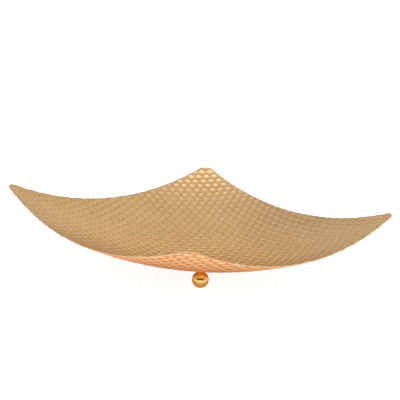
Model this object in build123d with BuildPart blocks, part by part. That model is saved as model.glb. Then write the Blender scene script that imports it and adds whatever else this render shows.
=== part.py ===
from build123d import *
import os
from math import asin, cos, degrees, radians, sin, sqrt, tan

# Square dished brass tray on four brazed ball feet.
# Frame: the sides run along X and Y, +Z is up, and the origin is on the standing surface,
# under the middle of the dish.  Millimetres and degrees.

# Sheet outline, seen from above
side = 305.0            # a side, between its two untrimmed corners
side_bow = 4.1          # how far the middle of a side bulges outward
corner_trim = 7.4       # length trimmed off both sides at each corner
corner_round = 2.5      # radius that eases the two ends of a trimmed corner

# Sheet section, through the middle
sheet_thickness = 1.2
dish_radius = 367.0     # underside of the dished middle
flare_radius = 413.0    # underside of the flatter part beyond it
dish_reach = 112.0      # distance from the middle where one radius runs into the other

# Ball feet
ball_diameter = 17.0
foot_ring = 85.5        # distance from the middle to where each foot meets the sheet
foot_turn = 6.0         # angle by which the ring of feet is turned from the corners
lapped_flat = 3.0       # diameter of the flat that levels each ball on the standing surface

# Studs: each is brazed to the sheet and sits in a drilled blind hole in its ball
stud_diameter = 4.0
stud_engagement = 7.0   # length of the stud inside the ball
drill_clearance = 0.8   # straight length of the hole left empty under the stud
drill_point = 118.0     # included angle of the drill's conical tip

# Braze filler between the sheet and each ball
braze_on_sheet = 5.0    # radius of the ring on the sheet
braze_on_ball = 4.6     # radius of the ring on the ball
braze_hollow = 1.2      # radius of the ring's concave outer face

ball_radius = ball_diameter / 2
stud_radius = stud_diameter / 2
seat_tilt = degrees(asin(foot_ring / dish_radius))
ball_centre_height = sqrt(ball_radius**2 - (lapped_flat / 2) ** 2)
belly_height = ball_centre_height - dish_radius + (dish_radius + ball_radius) * cos(radians(seat_tilt))

corners = {"front_left": -135.0, "front_right": -45.0, "back_right": 45.0, "back_left": 135.0}
arc_bottom = -90        # start angle of an arc that begins at its lowest point


def seat_plane(turn):
    """Plane through the tray's axis with its origin where a foot meets the sheet.

    Its y axis is the sheet's normal and points up, out of the ball and into the sheet.
    """
    tilt = radians(seat_tilt)
    outward = Vector(cos(radians(turn)), sin(radians(turn)), 0)
    upward = Vector(0, 0, 1)
    contact = outward * foot_ring + upward * (belly_height + dish_radius * (1 - cos(tilt)))
    return Plane(contact, x_dir=outward * cos(tilt) + upward * sin(tilt), z_dir=outward.cross(upward))


def seat_axis(plane):
    return Axis(plane.origin, plane.y_dir)


def sphere_drop(radius, reach):
    """How far a sphere's surface falls away from its tangent plane at a distance from the contact."""
    return radius - sqrt(radius**2 - reach**2)


# Tray sheet: one section turned about the middle, trimmed to the square outline
dish_sweep = degrees(asin(dish_reach / dish_radius))
dish_centre = Vector(0, belly_height + dish_radius)
inward = Vector(-sin(radians(dish_sweep)), cos(radians(dish_sweep)))
flare_centre = dish_centre + inward * (flare_radius - dish_radius)
flare_start = arc_bottom + dish_sweep
half_diagonal = side / sqrt(2)
flare_sweep = degrees(asin((half_diagonal - flare_centre.X) / flare_radius)) - dish_sweep

with BuildPart() as tray_sheet:
    with BuildSketch(Plane.XZ):
        with BuildLine():
            dish_under = CenterArc(dish_centre, dish_radius, arc_bottom, dish_sweep)
            flare_under = CenterArc(flare_centre, flare_radius, flare_start, flare_sweep)
            dish_top = CenterArc(dish_centre, dish_radius - sheet_thickness, arc_bottom, dish_sweep)
            flare_top = CenterArc(flare_centre, flare_radius - sheet_thickness, flare_start, flare_sweep)
            Line(dish_under @ 0, dish_top @ 0)
            Line(flare_under @ 1, flare_top @ 1)
        make_face()
    revolve(axis=Axis.Z)
    with BuildSketch(Plane.XY):
        with BuildLine():
            square = [(side / 2 * x, side / 2 * y) for x, y in ((1, 1), (-1, 1), (-1, -1), (1, -1))]
            for start, end in zip(square, square[1:] + square[:1]):
                SagittaArc(start, end, -side_bow)
        make_face()
        chamfer(vertices(), corner_trim)
        fillet(vertices(), corner_round)
    extrude(amount=half_diagonal, mode=Mode.INTERSECT)
tray_sheet.part.label = "tray_sheet"

os.makedirs("parts", exist_ok=True)
export_step(tray_sheet.part, "parts/tray_sheet.step")


def make_ball(plane):
    """Ball with a drilled blind hole for its stud and a small flat where it stands."""
    hole_depth = stud_engagement + drill_clearance
    tip_depth = hole_depth + stud_radius / tan(radians(drill_point / 2))
    with BuildPart() as ball:
        with BuildSketch(plane):
            with BuildLine():
                mouth = degrees(asin(stud_radius / ball_radius))
                surface = CenterArc((0, -ball_radius), ball_radius, arc_bottom, 180 - mouth)
                Polyline(surface @ 1, (stud_radius, -hole_depth), (0, -tip_depth), surface @ 0)
            make_face()
        revolve(axis=seat_axis(plane))
        split(bisect_by=Plane.XY, keep=Keep.TOP)
    return ball.part


def make_stud(plane):
    """Plain stud that fills the hole's straight part and meets the sheet's underside."""
    with BuildPart() as stud:
        with BuildSketch(plane):
            with BuildLine():
                spread = degrees(asin(stud_radius / dish_radius))
                top = CenterArc((0, dish_radius), dish_radius, arc_bottom, spread)
                Polyline(top @ 1, (stud_radius, -stud_engagement), (0, -stud_engagement), top @ 0)
            make_face()
        revolve(axis=seat_axis(plane))
    return stud.part


def make_braze(plane):
    """Ring of filler between the sheet's underside and the ball, with a concave outer face."""
    inner_low = (stud_radius, -sphere_drop(ball_radius, stud_radius))
    inner_high = (stud_radius, sphere_drop(dish_radius, stud_radius))
    outer_low = (braze_on_ball, -sphere_drop(ball_radius, braze_on_ball))
    outer_high = (braze_on_sheet, sphere_drop(dish_radius, braze_on_sheet))
    with BuildPart() as braze:
        with BuildSketch(plane):
            with BuildLine():
                Line(inner_low, inner_high)
                RadiusArc(inner_high, outer_high, -dish_radius)
                RadiusArc(outer_high, outer_low, -braze_hollow)
                RadiusArc(outer_low, inner_low, -ball_radius)
            make_face()
        revolve(axis=seat_axis(plane))
    return braze.part


for corner, direction in corners.items():
    plane = seat_plane(direction + foot_turn)
    makers = {"foot_ball": make_ball, "foot_stud": make_stud, "foot_braze": make_braze}
    for name, maker in makers.items():
        piece = maker(plane)
        piece.label = f"{name}_{corner}"
        export_step(piece, f"parts/{piece.label}.step")

print(f"belly height {belly_height:.3f} mm, seat tilt {seat_tilt:.3f} degrees")
print(f"tray box {tray_sheet.part.bounding_box()}")
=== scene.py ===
import math

import bmesh
import bpy
import numpy as np
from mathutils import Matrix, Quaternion, Vector


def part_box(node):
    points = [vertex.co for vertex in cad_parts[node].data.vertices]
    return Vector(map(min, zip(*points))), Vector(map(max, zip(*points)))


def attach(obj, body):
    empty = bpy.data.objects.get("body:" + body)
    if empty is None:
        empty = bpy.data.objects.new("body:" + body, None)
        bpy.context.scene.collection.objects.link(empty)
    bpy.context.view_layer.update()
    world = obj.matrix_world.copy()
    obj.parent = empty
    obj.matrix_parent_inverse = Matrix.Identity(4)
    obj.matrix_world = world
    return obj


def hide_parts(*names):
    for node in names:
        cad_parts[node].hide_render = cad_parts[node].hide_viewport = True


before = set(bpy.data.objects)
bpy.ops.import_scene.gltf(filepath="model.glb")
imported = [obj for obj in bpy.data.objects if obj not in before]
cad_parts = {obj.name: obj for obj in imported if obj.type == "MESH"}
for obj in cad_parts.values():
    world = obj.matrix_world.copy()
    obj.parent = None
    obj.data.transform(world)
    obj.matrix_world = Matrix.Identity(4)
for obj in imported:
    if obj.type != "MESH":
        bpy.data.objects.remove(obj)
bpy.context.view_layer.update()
MM = 0.001

# Sheet outline and section, the same as the CAD part's
SIDE = 305.0 * MM
SIDE_BOW = 4.1 * MM
CORNER_TRIM = 7.4 * MM
CORNER_ROUND = 2.5 * MM
SHEET = 1.2 * MM
DISH_RADIUS = 367.0 * MM
FLARE_RADIUS = 413.0 * MM
DISH_REACH = 112.0 * MM
FOOT_RING = 85.5 * MM
FOOT_TURN = 6.0             # angle of the ring of feet from the corners
CORNERS = {"front_left": -135.0, "front_right": -45.0, "back_right": 45.0, "back_left": 135.0}
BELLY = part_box("tray_sheet")[0][2]
HALF = SIDE / 2

# Honeycomb of pressed dimples
PITCH = 11.1 * MM
ROWS_TURN = -35.4           # direction of one set of rows, counter-clockwise from +X
LATTICE_SHIFT = (0.275, 0.168)  # in pitches
PIT_RISE = 2.3 * MM         # a pit's wall rises by this times its distance squared, in pitches
MEAN_RELIEF = 0.155         # taken off relief(), so that pits and ridges lie either side of the CAD face
RIDGE_SHARPNESS = 22.0
PIT_DEPTH_SPREAD = 0.002    # depth varies from one pit to the next, in pitches squared
PIT_WANDER = 0.015          # and so does its place, in pitches
CALM_RADIUS = 5 * MM        # the underside is smooth this far from each foot
CALM_BLEND = 6 * MM         # and fully pressed this much further out

# Mesh of the sheet
SEGMENTS = 218              # grid cells along a side
CORNER_REACH = 30 * MM      # only faces this near a corner are cut there
EASING = (0.17, 0.34, 0.5, 0.66, 0.83)  # cuts of an eased end, as shares of its turn
RIM_STEPS = 3               # rows of faces across the rounded edge
RIM_BULGE = 0.25            # how far the edge bulges, as a share of the sheet's thickness
TOP, UNDERSIDE, EDGE = 0, 1, 2   # material places on the sheet

# Painted shade fixed to the object, greying and darkening the sheet towards three sides, standing in for
# dimmer reflections there: a direction, and the colour reached at its far end
SIDE_SHADE = [((0.71, -0.71, 0), (0.85, 0.88, 1.0)),    # right corner
           ((-0.71, -0.71, 0), (0.92, 0.96, 1.0)),   # front corner
           ((-1, 0, 0), (0.9, 0.91, 0.97))]          # front left side
SIDE_SHADE_START = 30 * MM     # distance from the middle where a tint begins
SIDE_SHADE_FULL = 180 * MM

# Camera, in degrees, metres and millimetres of film
CAMERA_AZIMUTH, CAMERA_PITCH, CAMERA_ROLL = -43.41, 12.18, 4.07
CAMERA_DISTANCE = 0.8336
CAMERA_AIM = (0.0005, -0.0005, 0.0709)
CAMERA_LENS, CAMERA_SENSOR = 68.27, 36.0

# Floor, tent and cards; a ramp's stops are (place, colour)
FLOOR_LEVEL = 0.45
FLOOR_GLOW = 0.88
TENT_RADIUS = 3.0
TENT_BY_HEIGHT = [(0.0, (0.72, 0.72, 0.72)), (0.1, (0.78, 0.78, 0.78)), (0.2, (0.93, 0.93, 0.93)),
                  (0.4, (0.94, 0.94, 0.94)), (0.65, (0.8, 0.8, 0.8)), (1.0, (0.75, 0.75, 0.75))]
TENT_BY_SIDE = [(0.3, (0.66, 0.65, 0.76)), (0.5, (1, 1, 1)), (0.52, (1, 1, 1)),
                (0.66, (0.78, 0.77, 0.82))]
UNDER_CARD_RADIUS = 0.6
UNDER_CARD_HEIGHT = 0.3 * MM    # just clear of the floor
UNDER_CARD = [(0.0, (0.42, 0.26, 0.18)), (0.15, (0.58, 0.35, 0.23)), (0.22, (1.12, 1.04, 1.0)),
              (0.27, (1.4, 1.42, 1.45)), (0.4, (0.84, 0.84, 0.85))]


def section(reach):
    """Underside height above the belly, and slope, at a distance from the middle."""
    sweep = math.asin(DISH_REACH / DISH_RADIUS)
    flare_x = -math.sin(sweep) * (FLARE_RADIUS - DISH_RADIUS)
    flare_z = DISH_RADIUS + math.cos(sweep) * (FLARE_RADIUS - DISH_RADIUS)
    inner = np.minimum(reach, DISH_REACH)
    outer = np.maximum(reach, DISH_REACH) - flare_x
    dish = DISH_RADIUS - np.sqrt(DISH_RADIUS**2 - inner**2)
    flare = flare_z - np.sqrt(FLARE_RADIUS**2 - outer**2)
    dish_slope = inner / np.sqrt(DISH_RADIUS**2 - inner**2)
    flare_slope = outer / np.sqrt(FLARE_RADIUS**2 - outer**2)
    within = reach <= DISH_REACH
    return np.where(within, dish, flare), np.where(within, dish_slope, flare_slope)


def hashed(i, j, salt):
    """A repeatable value in -1..1 for each lattice point."""
    return 2 * np.modf(np.abs(np.sin(i * 127.1 + j * 311.7 + salt * 74.7) * 43758.5453))[0] - 1


def relief(x, y):
    """Height of the pressed honeycomb, in pitches squared: about 0 in a pit, largest where ridges meet."""
    reach = np.hypot(x, y)
    along = DISH_RADIUS * np.arcsin(np.minimum(reach, DISH_RADIUS * 0.99) / DISH_RADIUS)
    stretch = np.where(reach > 1e-9, along / np.maximum(reach, 1e-9), 1.0)
    turn = math.radians(ROWS_TURN)
    u = (x * math.cos(turn) + y * math.sin(turn)) * stretch / PITCH + LATTICE_SHIFT[0]
    v = (-x * math.sin(turn) + y * math.cos(turn)) * stretch / PITCH + LATTICE_SHIFT[1]
    row = v / math.sqrt(0.75)
    column = u - row / 2
    total = np.zeros_like(u)
    for di in (-1, 0, 1, 2):
        for dj in (-1, 0, 1, 2):
            i, j = np.floor(column) + di, np.floor(row) + dj
            centre_u = i + j / 2 + PIT_WANDER * hashed(i, j, 1)
            centre_v = j * math.sqrt(0.75) + PIT_WANDER * hashed(i, j, 2)
            distance2 = (u - centre_u) ** 2 + (v - centre_v) ** 2
            total += np.exp(-RIDGE_SHARPNESS * (distance2 - PIT_DEPTH_SPREAD * hashed(i, j, 3)))
    return -np.log(total) / RIDGE_SHARPNESS


def foot_places():
    """Each corner's name, and the direction of its foot from the middle."""
    for corner, direction in CORNERS.items():
        angle = math.radians(direction + FOOT_TURN)
        yield corner, Vector((math.cos(angle), math.sin(angle), 0))


def sheet_points(x, y, lift):
    """Points of the sheet at plan places x, y, and how far each is pressed.

    lift runs from 0 at the underside to 1 at the top.
    """
    reach = np.hypot(x, y)
    height, slope = section(reach)
    steep = np.hypot(1, slope)
    out_x, out_y = x / np.maximum(reach, 1e-9), y / np.maximum(reach, 1e-9)
    press = (relief(x, y) - MEAN_RELIEF) * PIT_RISE
    calm = np.ones_like(x)
    for _, direction in foot_places():
        gap = np.hypot(x - direction.x * FOOT_RING, y - direction.y * FOOT_RING)
        calm = np.minimum(calm, np.clip((gap - CALM_RADIUS) / CALM_BLEND, 0, 1))
    press_here = press * (calm + (1 - calm) * lift)
    rise = lift * SHEET + press_here
    points = np.stack([x - out_x * slope / steep * rise, y - out_y * slope / steep * rise,
                       BELLY + height + rise / steep], axis=1)
    return points, press_here


def plan_mesh():
    """Flat grid over the square outline with its bowed sides, trimmed and eased at the corners."""
    steps = np.linspace(-1, 1, SEGMENTS + 1)
    u, v = np.meshgrid(steps, steps, indexing="ij")
    x = u * (HALF + SIDE_BOW * (1 - v**2))
    y = v * (HALF + SIDE_BOW * (1 - u**2))
    n = SEGMENTS + 1
    low = (np.arange(SEGMENTS)[:, None] * n + np.arange(SEGMENTS)[None, :]).ravel()
    faces = np.stack([low, low + n, low + n + 1, low + 1], axis=1)
    mesh = bpy.data.meshes.new("plan")
    flat = np.stack([x.ravel(), y.ravel(), np.zeros(x.size)], axis=1)
    mesh.from_pydata(flat.tolist(), [], faces.tolist())
    plan = bmesh.new()
    plan.from_mesh(mesh)
    bpy.data.meshes.remove(mesh)
    for quarter in range(4):
        turn = Quaternion((0, 0, 1), quarter * math.pi / 2)
        corner = turn @ Vector((HALF, HALF, 0))
        for point, normal in corner_cuts():
            point, normal = turn @ point, turn @ normal
            near = [f for f in plan.faces if (f.calc_center_median() - corner).length < CORNER_REACH]
            geometry = set(near)
            for face in near:
                geometry.update(face.edges)
                geometry.update(face.verts)
            bmesh.ops.bisect_plane(plan, geom=list(geometry), plane_co=point, plane_no=normal,
                                   clear_outer=True, dist=1e-7)
    return plan


def corner_cuts():
    """Cutting planes for the trimmed corner at +X +Y: the trim itself and its two eased ends."""
    trim_normal = Vector((1, 1, 0)).normalized()
    trim_point = Vector((HALF - CORNER_TRIM / 2, HALF - CORNER_TRIM / 2, 0))
    cuts = [(trim_point, trim_normal)]
    for flip in (False, True):
        end = Vector((HALF, HALF - CORNER_TRIM, 0))
        side_normal = Vector((1, 0, 0))
        bisector = (side_normal + trim_normal).normalized()
        centre = end - bisector * (CORNER_ROUND / side_normal.dot(bisector))
        for share in EASING:
            normal = side_normal.slerp(trim_normal, share)
            point = centre + normal * CORNER_ROUND
            if flip:
                point, normal = Vector((point.y, point.x, 0)), Vector((normal.y, normal.x, 0))
            cuts.append((point, normal))
    return cuts


def make_sheet():
    """The pressed sheet: top, underside and a rounded edge, as one closed mesh."""
    plan = plan_mesh()
    plan.verts.index_update()
    xy = np.array([v.co[:2] for v in plan.verts])
    faces = [[v.index for v in f.verts] for f in plan.faces]
    border = [e for e in plan.edges if e.is_boundary]
    following = {}
    for edge in border:
        loop = edge.link_loops[0]
        following[loop.vert.index] = loop.link_loop_next.vert.index
    plan.free()
    ring = [next(iter(following))]
    while following[ring[-1]] != ring[0]:
        ring.append(following[ring[-1]])
    under, press_under = sheet_points(xy[:, 0], xy[:, 1], 0.0)
    top, press_top = sheet_points(xy[:, 0], xy[:, 1], 1.0)
    count = len(xy)
    points = [under, top]
    all_faces = [list(reversed(f)) for f in faces] + [[i + count for i in f] for f in faces]
    materials = [UNDERSIDE] * len(faces) + [TOP] * len(faces)
    ring_xy = xy[ring]
    outward = np.roll(ring_xy, -1, axis=0) - np.roll(ring_xy, 1, axis=0)
    outward = np.stack([outward[:, 1], -outward[:, 0]], axis=1)
    outward /= np.linalg.norm(outward, axis=1)[:, None]
    rows = [np.array(ring)]
    for step in range(1, RIM_STEPS):
        lift = step / RIM_STEPS
        row, _ = sheet_points(ring_xy[:, 0], ring_xy[:, 1], lift)
        bulge = SHEET * RIM_BULGE * math.sin(math.pi * lift)
        row[:, :2] += outward * bulge
        rows.append(np.arange(len(ring)) + 2 * count + (step - 1) * len(ring))
        points.append(row)
    rows.append(np.array(ring) + count)
    for lower, upper in zip(rows, rows[1:]):
        for k in range(len(ring)):
            m = (k + 1) % len(ring)
            all_faces.append([lower[k], lower[m], upper[m], upper[k]])
            materials.append(EDGE)
    mesh = bpy.data.meshes.new("tray_sheet_pressed")
    mesh.from_pydata(np.concatenate(points).tolist(), [], [[int(i) for i in f] for f in all_faces])
    mesh.polygons.foreach_set("material_index", materials)
    mesh.polygons.foreach_set("use_smooth", [True] * len(materials))
    ridge = np.concatenate([press_under, press_top, np.tile(press_top[ring], RIM_STEPS - 1)]) / PIT_RISE
    mesh.attributes.new("ridge", "FLOAT", "POINT").data.foreach_set("value", ridge.astype(np.float32))
    rim = np.zeros(len(ridge))
    rim[ring], rim[np.array(ring) + count], rim[2 * count:] = 1, 1, 1
    mesh.attributes.new("rim", "FLOAT", "POINT").data.foreach_set("value", rim.astype(np.float32))
    return add_piece("tray_sheet_pressed", mesh)


def add_piece(name, mesh):
    piece = bpy.data.objects.new(name, mesh)
    bpy.context.scene.collection.objects.link(piece)
    return piece


# ---------- materials ----------

class Brass:
    """A brass material, built up from a few procedural layers."""

    def __init__(self, name, color, edge_color):
        self.material = bpy.data.materials.new(name)
        self.material.use_nodes = True
        self.tree = self.material.node_tree
        self.shader = self.tree.nodes["Principled BSDF"]
        self.shader.inputs["Metallic"].default_value = 1.0
        self.shader.inputs["Specular Tint"].default_value = (*edge_color, 1)
        self.coordinates = self.tree.nodes.new("ShaderNodeTexCoord").outputs["Object"]
        self.color = self.rgb(color)
        self.normal = None

    def rgb(self, color):
        node = self.tree.nodes.new("ShaderNodeRGB")
        node.outputs[0].default_value = (*color, 1)
        return node.outputs[0]

    def noise(self, feature, detail=3.0, stretch=None):
        """Noise from 0 to 1 whose features are about this many metres across."""
        node = self.tree.nodes.new("ShaderNodeTexNoise")
        node.inputs["Scale"].default_value = 1 / feature
        node.inputs["Detail"].default_value = detail
        source = self.coordinates
        if stretch:
            mapping = self.tree.nodes.new("ShaderNodeMapping")
            mapping.inputs["Rotation"].default_value = stretch[0]
            mapping.inputs["Scale"].default_value = stretch[1]
            self.tree.links.new(source, mapping.inputs["Vector"])
            source = mapping.outputs["Vector"]
        self.tree.links.new(source, node.inputs["Vector"])
        return node.outputs["Fac"]

    def attribute(self, name):
        node = self.tree.nodes.new("ShaderNodeAttribute")
        node.attribute_name = name
        return node.outputs["Fac"]

    def across(self, direction):
        """Distance in metres along a direction from the object's middle."""
        node = self.tree.nodes.new("ShaderNodeVectorMath")
        node.operation = "DOT_PRODUCT"
        node.inputs[1].default_value = direction
        self.tree.links.new(self.coordinates, node.inputs[0])
        return node.outputs["Value"]

    def spread(self, value, low, high, to_low=0.0, to_high=1.0):
        """Smoothly stretch a value's range from low..high to to_low..to_high."""
        node = self.tree.nodes.new("ShaderNodeMapRange")
        node.interpolation_type = "SMOOTHSTEP"
        for place, number in zip((1, 2, 3, 4), (low, high, to_low, to_high)):
            node.inputs[place].default_value = number
        self.tree.links.new(value, node.inputs["Value"])
        return node.outputs["Result"]

    def total(self, first, second):
        node = self.tree.nodes.new("ShaderNodeMath")
        node.operation = "ADD"
        self.tree.links.new(first, node.inputs[0])
        self.tree.links.new(second, node.inputs[1])
        return node.outputs[0]

    def tint(self, factor, color):
        """Multiply the colour so far by another, as far as the factor says."""
        node = self.tree.nodes.new("ShaderNodeMix")
        node.data_type = "RGBA"
        node.blend_type = "MULTIPLY"
        self.tree.links.new(factor, node.inputs["Factor"])
        self.tree.links.new(self.color, node.inputs["A"])
        self.tree.links.new(self.rgb(color), node.inputs["B"])
        self.color = node.outputs["Result"]

    def bump(self, height, distance):
        node = self.tree.nodes.new("ShaderNodeBump")
        node.inputs["Strength"].default_value = 1.0
        node.inputs["Distance"].default_value = distance
        self.tree.links.new(height, node.inputs["Height"])
        if self.normal:
            self.tree.links.new(self.normal, node.inputs["Normal"])
        self.normal = node.outputs["Normal"]

    def finished(self, roughness):
        self.tree.links.new(self.color, self.shader.inputs["Base Color"])
        self.tree.links.new(roughness, self.shader.inputs["Roughness"])
        if self.normal:
            self.tree.links.new(self.normal, self.shader.inputs["Normal"])
        return self.material


def sheet_material(name, color, edge_color, patina, cell_line_shade, cell_line_shade_range, rim_shade):
    """Satin sheet: patina in patches, painted shade on the lines between the cells, along the rim and
    towards three sides, roll grain and light scratches.
    """
    brass = Brass(name, color, edge_color)
    ridge = brass.attribute("ridge")
    patches = brass.noise(60 * MM, detail=4)
    mottle = brass.noise(5 * MM, detail=5)
    brass.tint(brass.spread(patches, 0.35, 0.75, 0.0, 0.55), patina)
    brass.tint(brass.spread(mottle, 0.3, 0.8, 0.0, 0.4), patina)
    # painted shade: darker lines where the pressed cells meet, on the ridges of the top and between the
    # bulges below
    brass.tint(brass.spread(ridge, *cell_line_shade_range), cell_line_shade)
    # painted shade: a darker, greyer line along the top's rim; the underside's rim is only slightly tinted
    brass.tint(brass.spread(brass.attribute("rim"), 0.1, 0.9), rim_shade)
    # painted shade: the sheet greys and darkens towards three sides, standing in for dimmer reflections
    # there
    for side, tone in SIDE_SHADE:
        brass.tint(brass.spread(brass.across(side), SIDE_SHADE_START, SIDE_SHADE_FULL), tone)
    grain = brass.noise(0.7 * MM, detail=4)
    scratches = brass.noise(1.2 * MM, detail=3, stretch=((0, 0, 0.6), (0.04, 1, 1)))
    brass.bump(grain, 0.006 * MM)
    brass.bump(scratches, 0.008 * MM)
    wear = brass.spread(patches, 0.3, 0.8, 0.19, 0.27)
    return brass.finished(brass.total(wear, brass.spread(mottle, 0.25, 0.75, 0.0, 0.08)))


def edge_material():
    """Cut and filed edge of the sheet: duller, with fine marks across it."""
    brass = Brass("sheet_edge", (0.95, 0.66, 0.38), (1, 0.78, 0.55))
    marks = brass.noise(0.8 * MM, detail=3, stretch=((0, 0, 0), (1, 1, 0.1)))
    brass.tint(brass.spread(brass.noise(9 * MM), 0.35, 0.7), (0.85, 0.78, 0.7))
    brass.bump(marks, 0.03 * MM)
    return brass.finished(brass.spread(marks, 0.3, 0.7, 0.3, 0.45))


def ball_material():
    """Polished ball: a few cloudy finger marks, hairline scratches and faint tarnish."""
    brass = Brass("ball_polished", (1.0, 0.66, 0.24), (0.8, 0.56, 0.42))
    cloud = brass.noise(6 * MM, detail=4)
    hairlines = brass.noise(0.6 * MM, detail=2, stretch=((0.4, 0.9, 0.2), (0.05, 1, 1)))
    brass.tint(brass.spread(cloud, 0.45, 0.8, 0.0, 0.5), (0.93, 0.88, 0.8))
    brass.bump(hairlines, 0.002 * MM)
    return brass.finished(brass.spread(cloud, 0.35, 0.75, 0.05, 0.12))


def braze_material():
    """Filler that flowed and was buffed: redder than the sheet, lumpy, with dull flux stains."""
    brass = Brass("braze_filler", (0.86, 0.5, 0.24), (0.8, 0.6, 0.4))
    stains = brass.noise(2.2 * MM, detail=4)
    brass.tint(brass.spread(stains, 0.4, 0.65), (0.72, 0.55, 0.42))
    brass.bump(brass.noise(1.1 * MM, detail=3), 0.08 * MM)
    return brass.finished(brass.spread(stains, 0.3, 0.7, 0.24, 0.46))


def stud_material():
    """Drawn rod, with fine lines along it."""
    brass = Brass("stud_drawn", (0.72, 0.5, 0.26), (0.8, 0.7, 0.5))
    lines = brass.noise(0.4 * MM, detail=2, stretch=((0, 0, 0), (1, 1, 0.03)))
    brass.tint(brass.spread(brass.noise(2 * MM), 0.35, 0.7), (0.85, 0.8, 0.72))
    brass.bump(lines, 0.02 * MM)
    return brass.finished(brass.spread(lines, 0.3, 0.7, 0.3, 0.45))


# ---------- camera, floor and light ----------

def make_camera():
    """Low view onto the front left corner, with the photograph's slight roll."""
    azimuth, pitch = math.radians(CAMERA_AZIMUTH), math.radians(CAMERA_PITCH)
    level = math.cos(pitch)
    forward = Vector((-math.sin(azimuth) * level, math.cos(azimuth) * level, -math.sin(pitch)))
    roll = Quaternion((0, 0, 1), math.radians(CAMERA_ROLL))
    data = bpy.data.cameras.new("camera")
    data.sensor_width = CAMERA_SENSOR
    data.lens = CAMERA_LENS
    camera = bpy.data.objects.new("camera", data)
    camera.rotation_mode = "QUATERNION"
    camera.rotation_quaternion = forward.to_track_quat("-Z", "Y") @ roll
    camera.location = Vector(CAMERA_AIM) - forward * CAMERA_DISTANCE
    bpy.context.scene.collection.objects.link(camera)
    bpy.context.scene.camera = camera


def plain_material(name, level, glow):
    """Matt grey of the given level that also glows white."""
    material = bpy.data.materials.new(name)
    material.use_nodes = True
    shader = material.node_tree.nodes["Principled BSDF"]
    shader.inputs["Base Color"].default_value = (level, level, level, 1)
    shader.inputs["Roughness"].default_value = 0.8
    shader.inputs["Emission Color"].default_value = (1, 1, 1, 1)
    shader.inputs["Emission Strength"].default_value = glow
    return material


def make_floor():
    bpy.ops.mesh.primitive_plane_add(size=40, location=(0, 0, 0))
    floor = bpy.context.object
    floor.name = "floor"
    floor.data.materials.append(plain_material("floor", FLOOR_LEVEL, FLOOR_GLOW))


def make_card(name, size, place, turn, glow):
    """A dark studio card that the camera doesn't see: it shows only where the metal mirrors it."""
    bpy.ops.mesh.primitive_plane_add(size=1, location=place)
    card = bpy.context.object
    card.name = name
    card.scale = (*size, 1)
    card.rotation_euler = [math.radians(angle) for angle in turn]
    card.visible_camera = False
    card.data.materials.append(plain_material(name, 0.03, glow))
    return card


def ramp(tree, value, stops):
    """Colour that follows a value from 0 to 1 through the given stops."""
    node = tree.nodes.new("ShaderNodeValToRGB")
    node.color_ramp.interpolation = "EASE"
    while len(node.color_ramp.elements) < len(stops):
        node.color_ramp.elements.new(0.5)
    for element, (place, color) in zip(node.color_ramp.elements, stops):
        element.position = place
        element.color = (*color, 1)
    tree.links.new(value, node.inputs[0])
    return node.outputs["Color"]


def make_under_card():
    """Warm shade under the tray with a bright ring round it, seen only as the metal mirrors it."""
    shape = bmesh.new()
    bmesh.ops.create_circle(shape, cap_ends=True, segments=96, radius=1.0)
    mesh = bpy.data.meshes.new("under_card")
    shape.to_mesh(mesh)
    shape.free()
    material = plain_material("under_card", 0.0, 1.0)
    tree = material.node_tree
    reach = tree.nodes.new("ShaderNodeVectorMath")
    reach.operation = "LENGTH"
    tree.links.new(tree.nodes.new("ShaderNodeTexCoord").outputs["Object"], reach.inputs[0])
    color = ramp(tree, reach.outputs["Value"], UNDER_CARD)
    tree.links.new(color, tree.nodes["Principled BSDF"].inputs["Emission Color"])
    mesh.materials.append(material)
    card = add_piece("under_card", mesh)
    card.location.z = UNDER_CARD_HEIGHT
    card.scale = (UNDER_CARD_RADIUS,) * 3
    card.visible_camera = card.visible_diffuse = card.visible_shadow = False


def tent_material():
    """Glow of the light tent: brightest in a low band, greyer elsewhere and towards both sides."""
    material = plain_material("light_tent", 0.0, 1.0)
    tree = material.node_tree
    shader = tree.nodes["Principled BSDF"]
    shader.inputs["Specular IOR Level"].default_value = 0.0
    place = tree.nodes.new("ShaderNodeTexCoord").outputs["Object"]
    split = tree.nodes.new("ShaderNodeSeparateXYZ")
    tree.links.new(place, split.inputs[0])
    side = tree.nodes.new("ShaderNodeVectorMath")
    side.operation = "DOT_PRODUCT"
    side.inputs[1].default_value = (0.5 * math.sqrt(0.5), -0.5 * math.sqrt(0.5), 0)
    tree.links.new(place, side.inputs[0])
    centred = tree.nodes.new("ShaderNodeMath")
    centred.operation = "ADD"
    centred.inputs[1].default_value = 0.5
    tree.links.new(side.outputs["Value"], centred.inputs[0])
    product = tree.nodes.new("ShaderNodeMix")
    product.data_type = "RGBA"
    product.blend_type = "MULTIPLY"
    product.inputs["Factor"].default_value = 1.0
    tree.links.new(ramp(tree, split.outputs["Z"], TENT_BY_HEIGHT), product.inputs["A"])
    tree.links.new(ramp(tree, centred.outputs[0], TENT_BY_SIDE), product.inputs["B"])
    tree.links.new(product.outputs["Result"], shader.inputs["Emission Color"])
    return material


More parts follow.
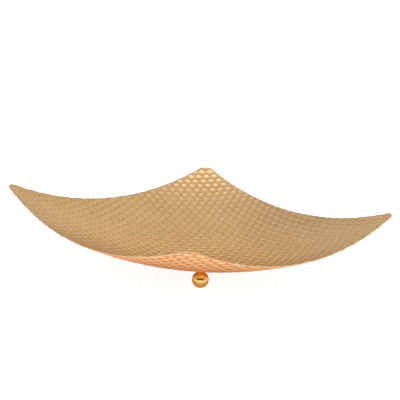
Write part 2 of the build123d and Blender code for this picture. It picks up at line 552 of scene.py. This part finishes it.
def make_tent():
    """Half ball of white cloth around the object; the camera looks through it at plain white."""
    shape = bmesh.new()
    bmesh.ops.create_uvsphere(shape, u_segments=96, v_segments=48, radius=1.0)
    bmesh.ops.delete(shape, geom=[v for v in shape.verts if v.co.z < -0.01], context="VERTS")
    mesh = bpy.data.meshes.new("light_tent")
    shape.to_mesh(mesh)
    shape.free()
    mesh.materials.append(tent_material())
    tent = add_piece("light_tent", mesh)
    tent.scale = (TENT_RADIUS,) * 3
    tent.visible_camera = False
    world = bpy.data.worlds.new("studio")
    bpy.context.scene.world = world
    world.use_nodes = True
    world.node_tree.nodes["Background"].inputs["Color"].default_value = (1, 1, 1, 1)


def soft_box(name, width, depth, place, turn, radiance):
    """Soft light; turn is its rotation, and at zero it shines straight down."""
    lamp = bpy.data.lights.new(name, "AREA")
    lamp.shape = "RECTANGLE"
    lamp.size, lamp.size_y = width, depth
    lamp.energy = radiance * math.pi * width * depth
    holder = bpy.data.objects.new(name, lamp)
    holder.location = place
    holder.rotation_euler = [math.radians(angle) for angle in turn]
    holder.visible_camera = False
    bpy.context.scene.collection.objects.link(holder)


make_camera()
make_floor()
make_tent()
make_card("dark_card", size=(4.4, 0.62), place=(-0.95, -1.35, 0.5), turn=(90, 0, -45), glow=0.05)
make_under_card()
soft_box("overhead", width=0.8, depth=1.1, place=(0.01, 0.01, 1.2), turn=(0, 0, 45), radiance=1.4)
bpy.context.scene.view_settings.view_transform = "Standard"

tray = make_sheet()
top_brass = sheet_material(
    "sheet_top", color=(0.83, 0.55, 0.27), edge_color=(0.83, 0.72, 0.56), patina=(0.86, 0.82, 0.76),
    cell_line_shade=(0.84, 0.79, 0.74), cell_line_shade_range=(-0.01, 0.08), rim_shade=(0.72, 0.66, 0.66))
# The underside is the same brass as the top; its brighter, more orange colours are painted light, standing
# in for warm light bounced between the sheet and the floor
under_brass = sheet_material(
    "sheet_underside", color=(0.95, 0.59, 0.28), edge_color=(1.0, 0.76, 0.58), patina=(0.9, 0.8, 0.7),
    cell_line_shade=(0.58, 0.35, 0.21), cell_line_shade_range=(-0.05, 0.09), rim_shade=(1.0, 0.95, 0.9))
tray.data.materials.append(top_brass)
tray.data.materials.append(under_brass)
tray.data.materials.append(edge_material())
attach(tray, "root")
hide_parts("tray_sheet")

finishes = {"foot_ball": ball_material(), "foot_stud": stud_material(), "foot_braze": braze_material()}
for corner, _ in foot_places():
    for kind, finish in finishes.items():
        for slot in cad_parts[f"{kind}_{corner}"].material_slots:
            slot.material = finish
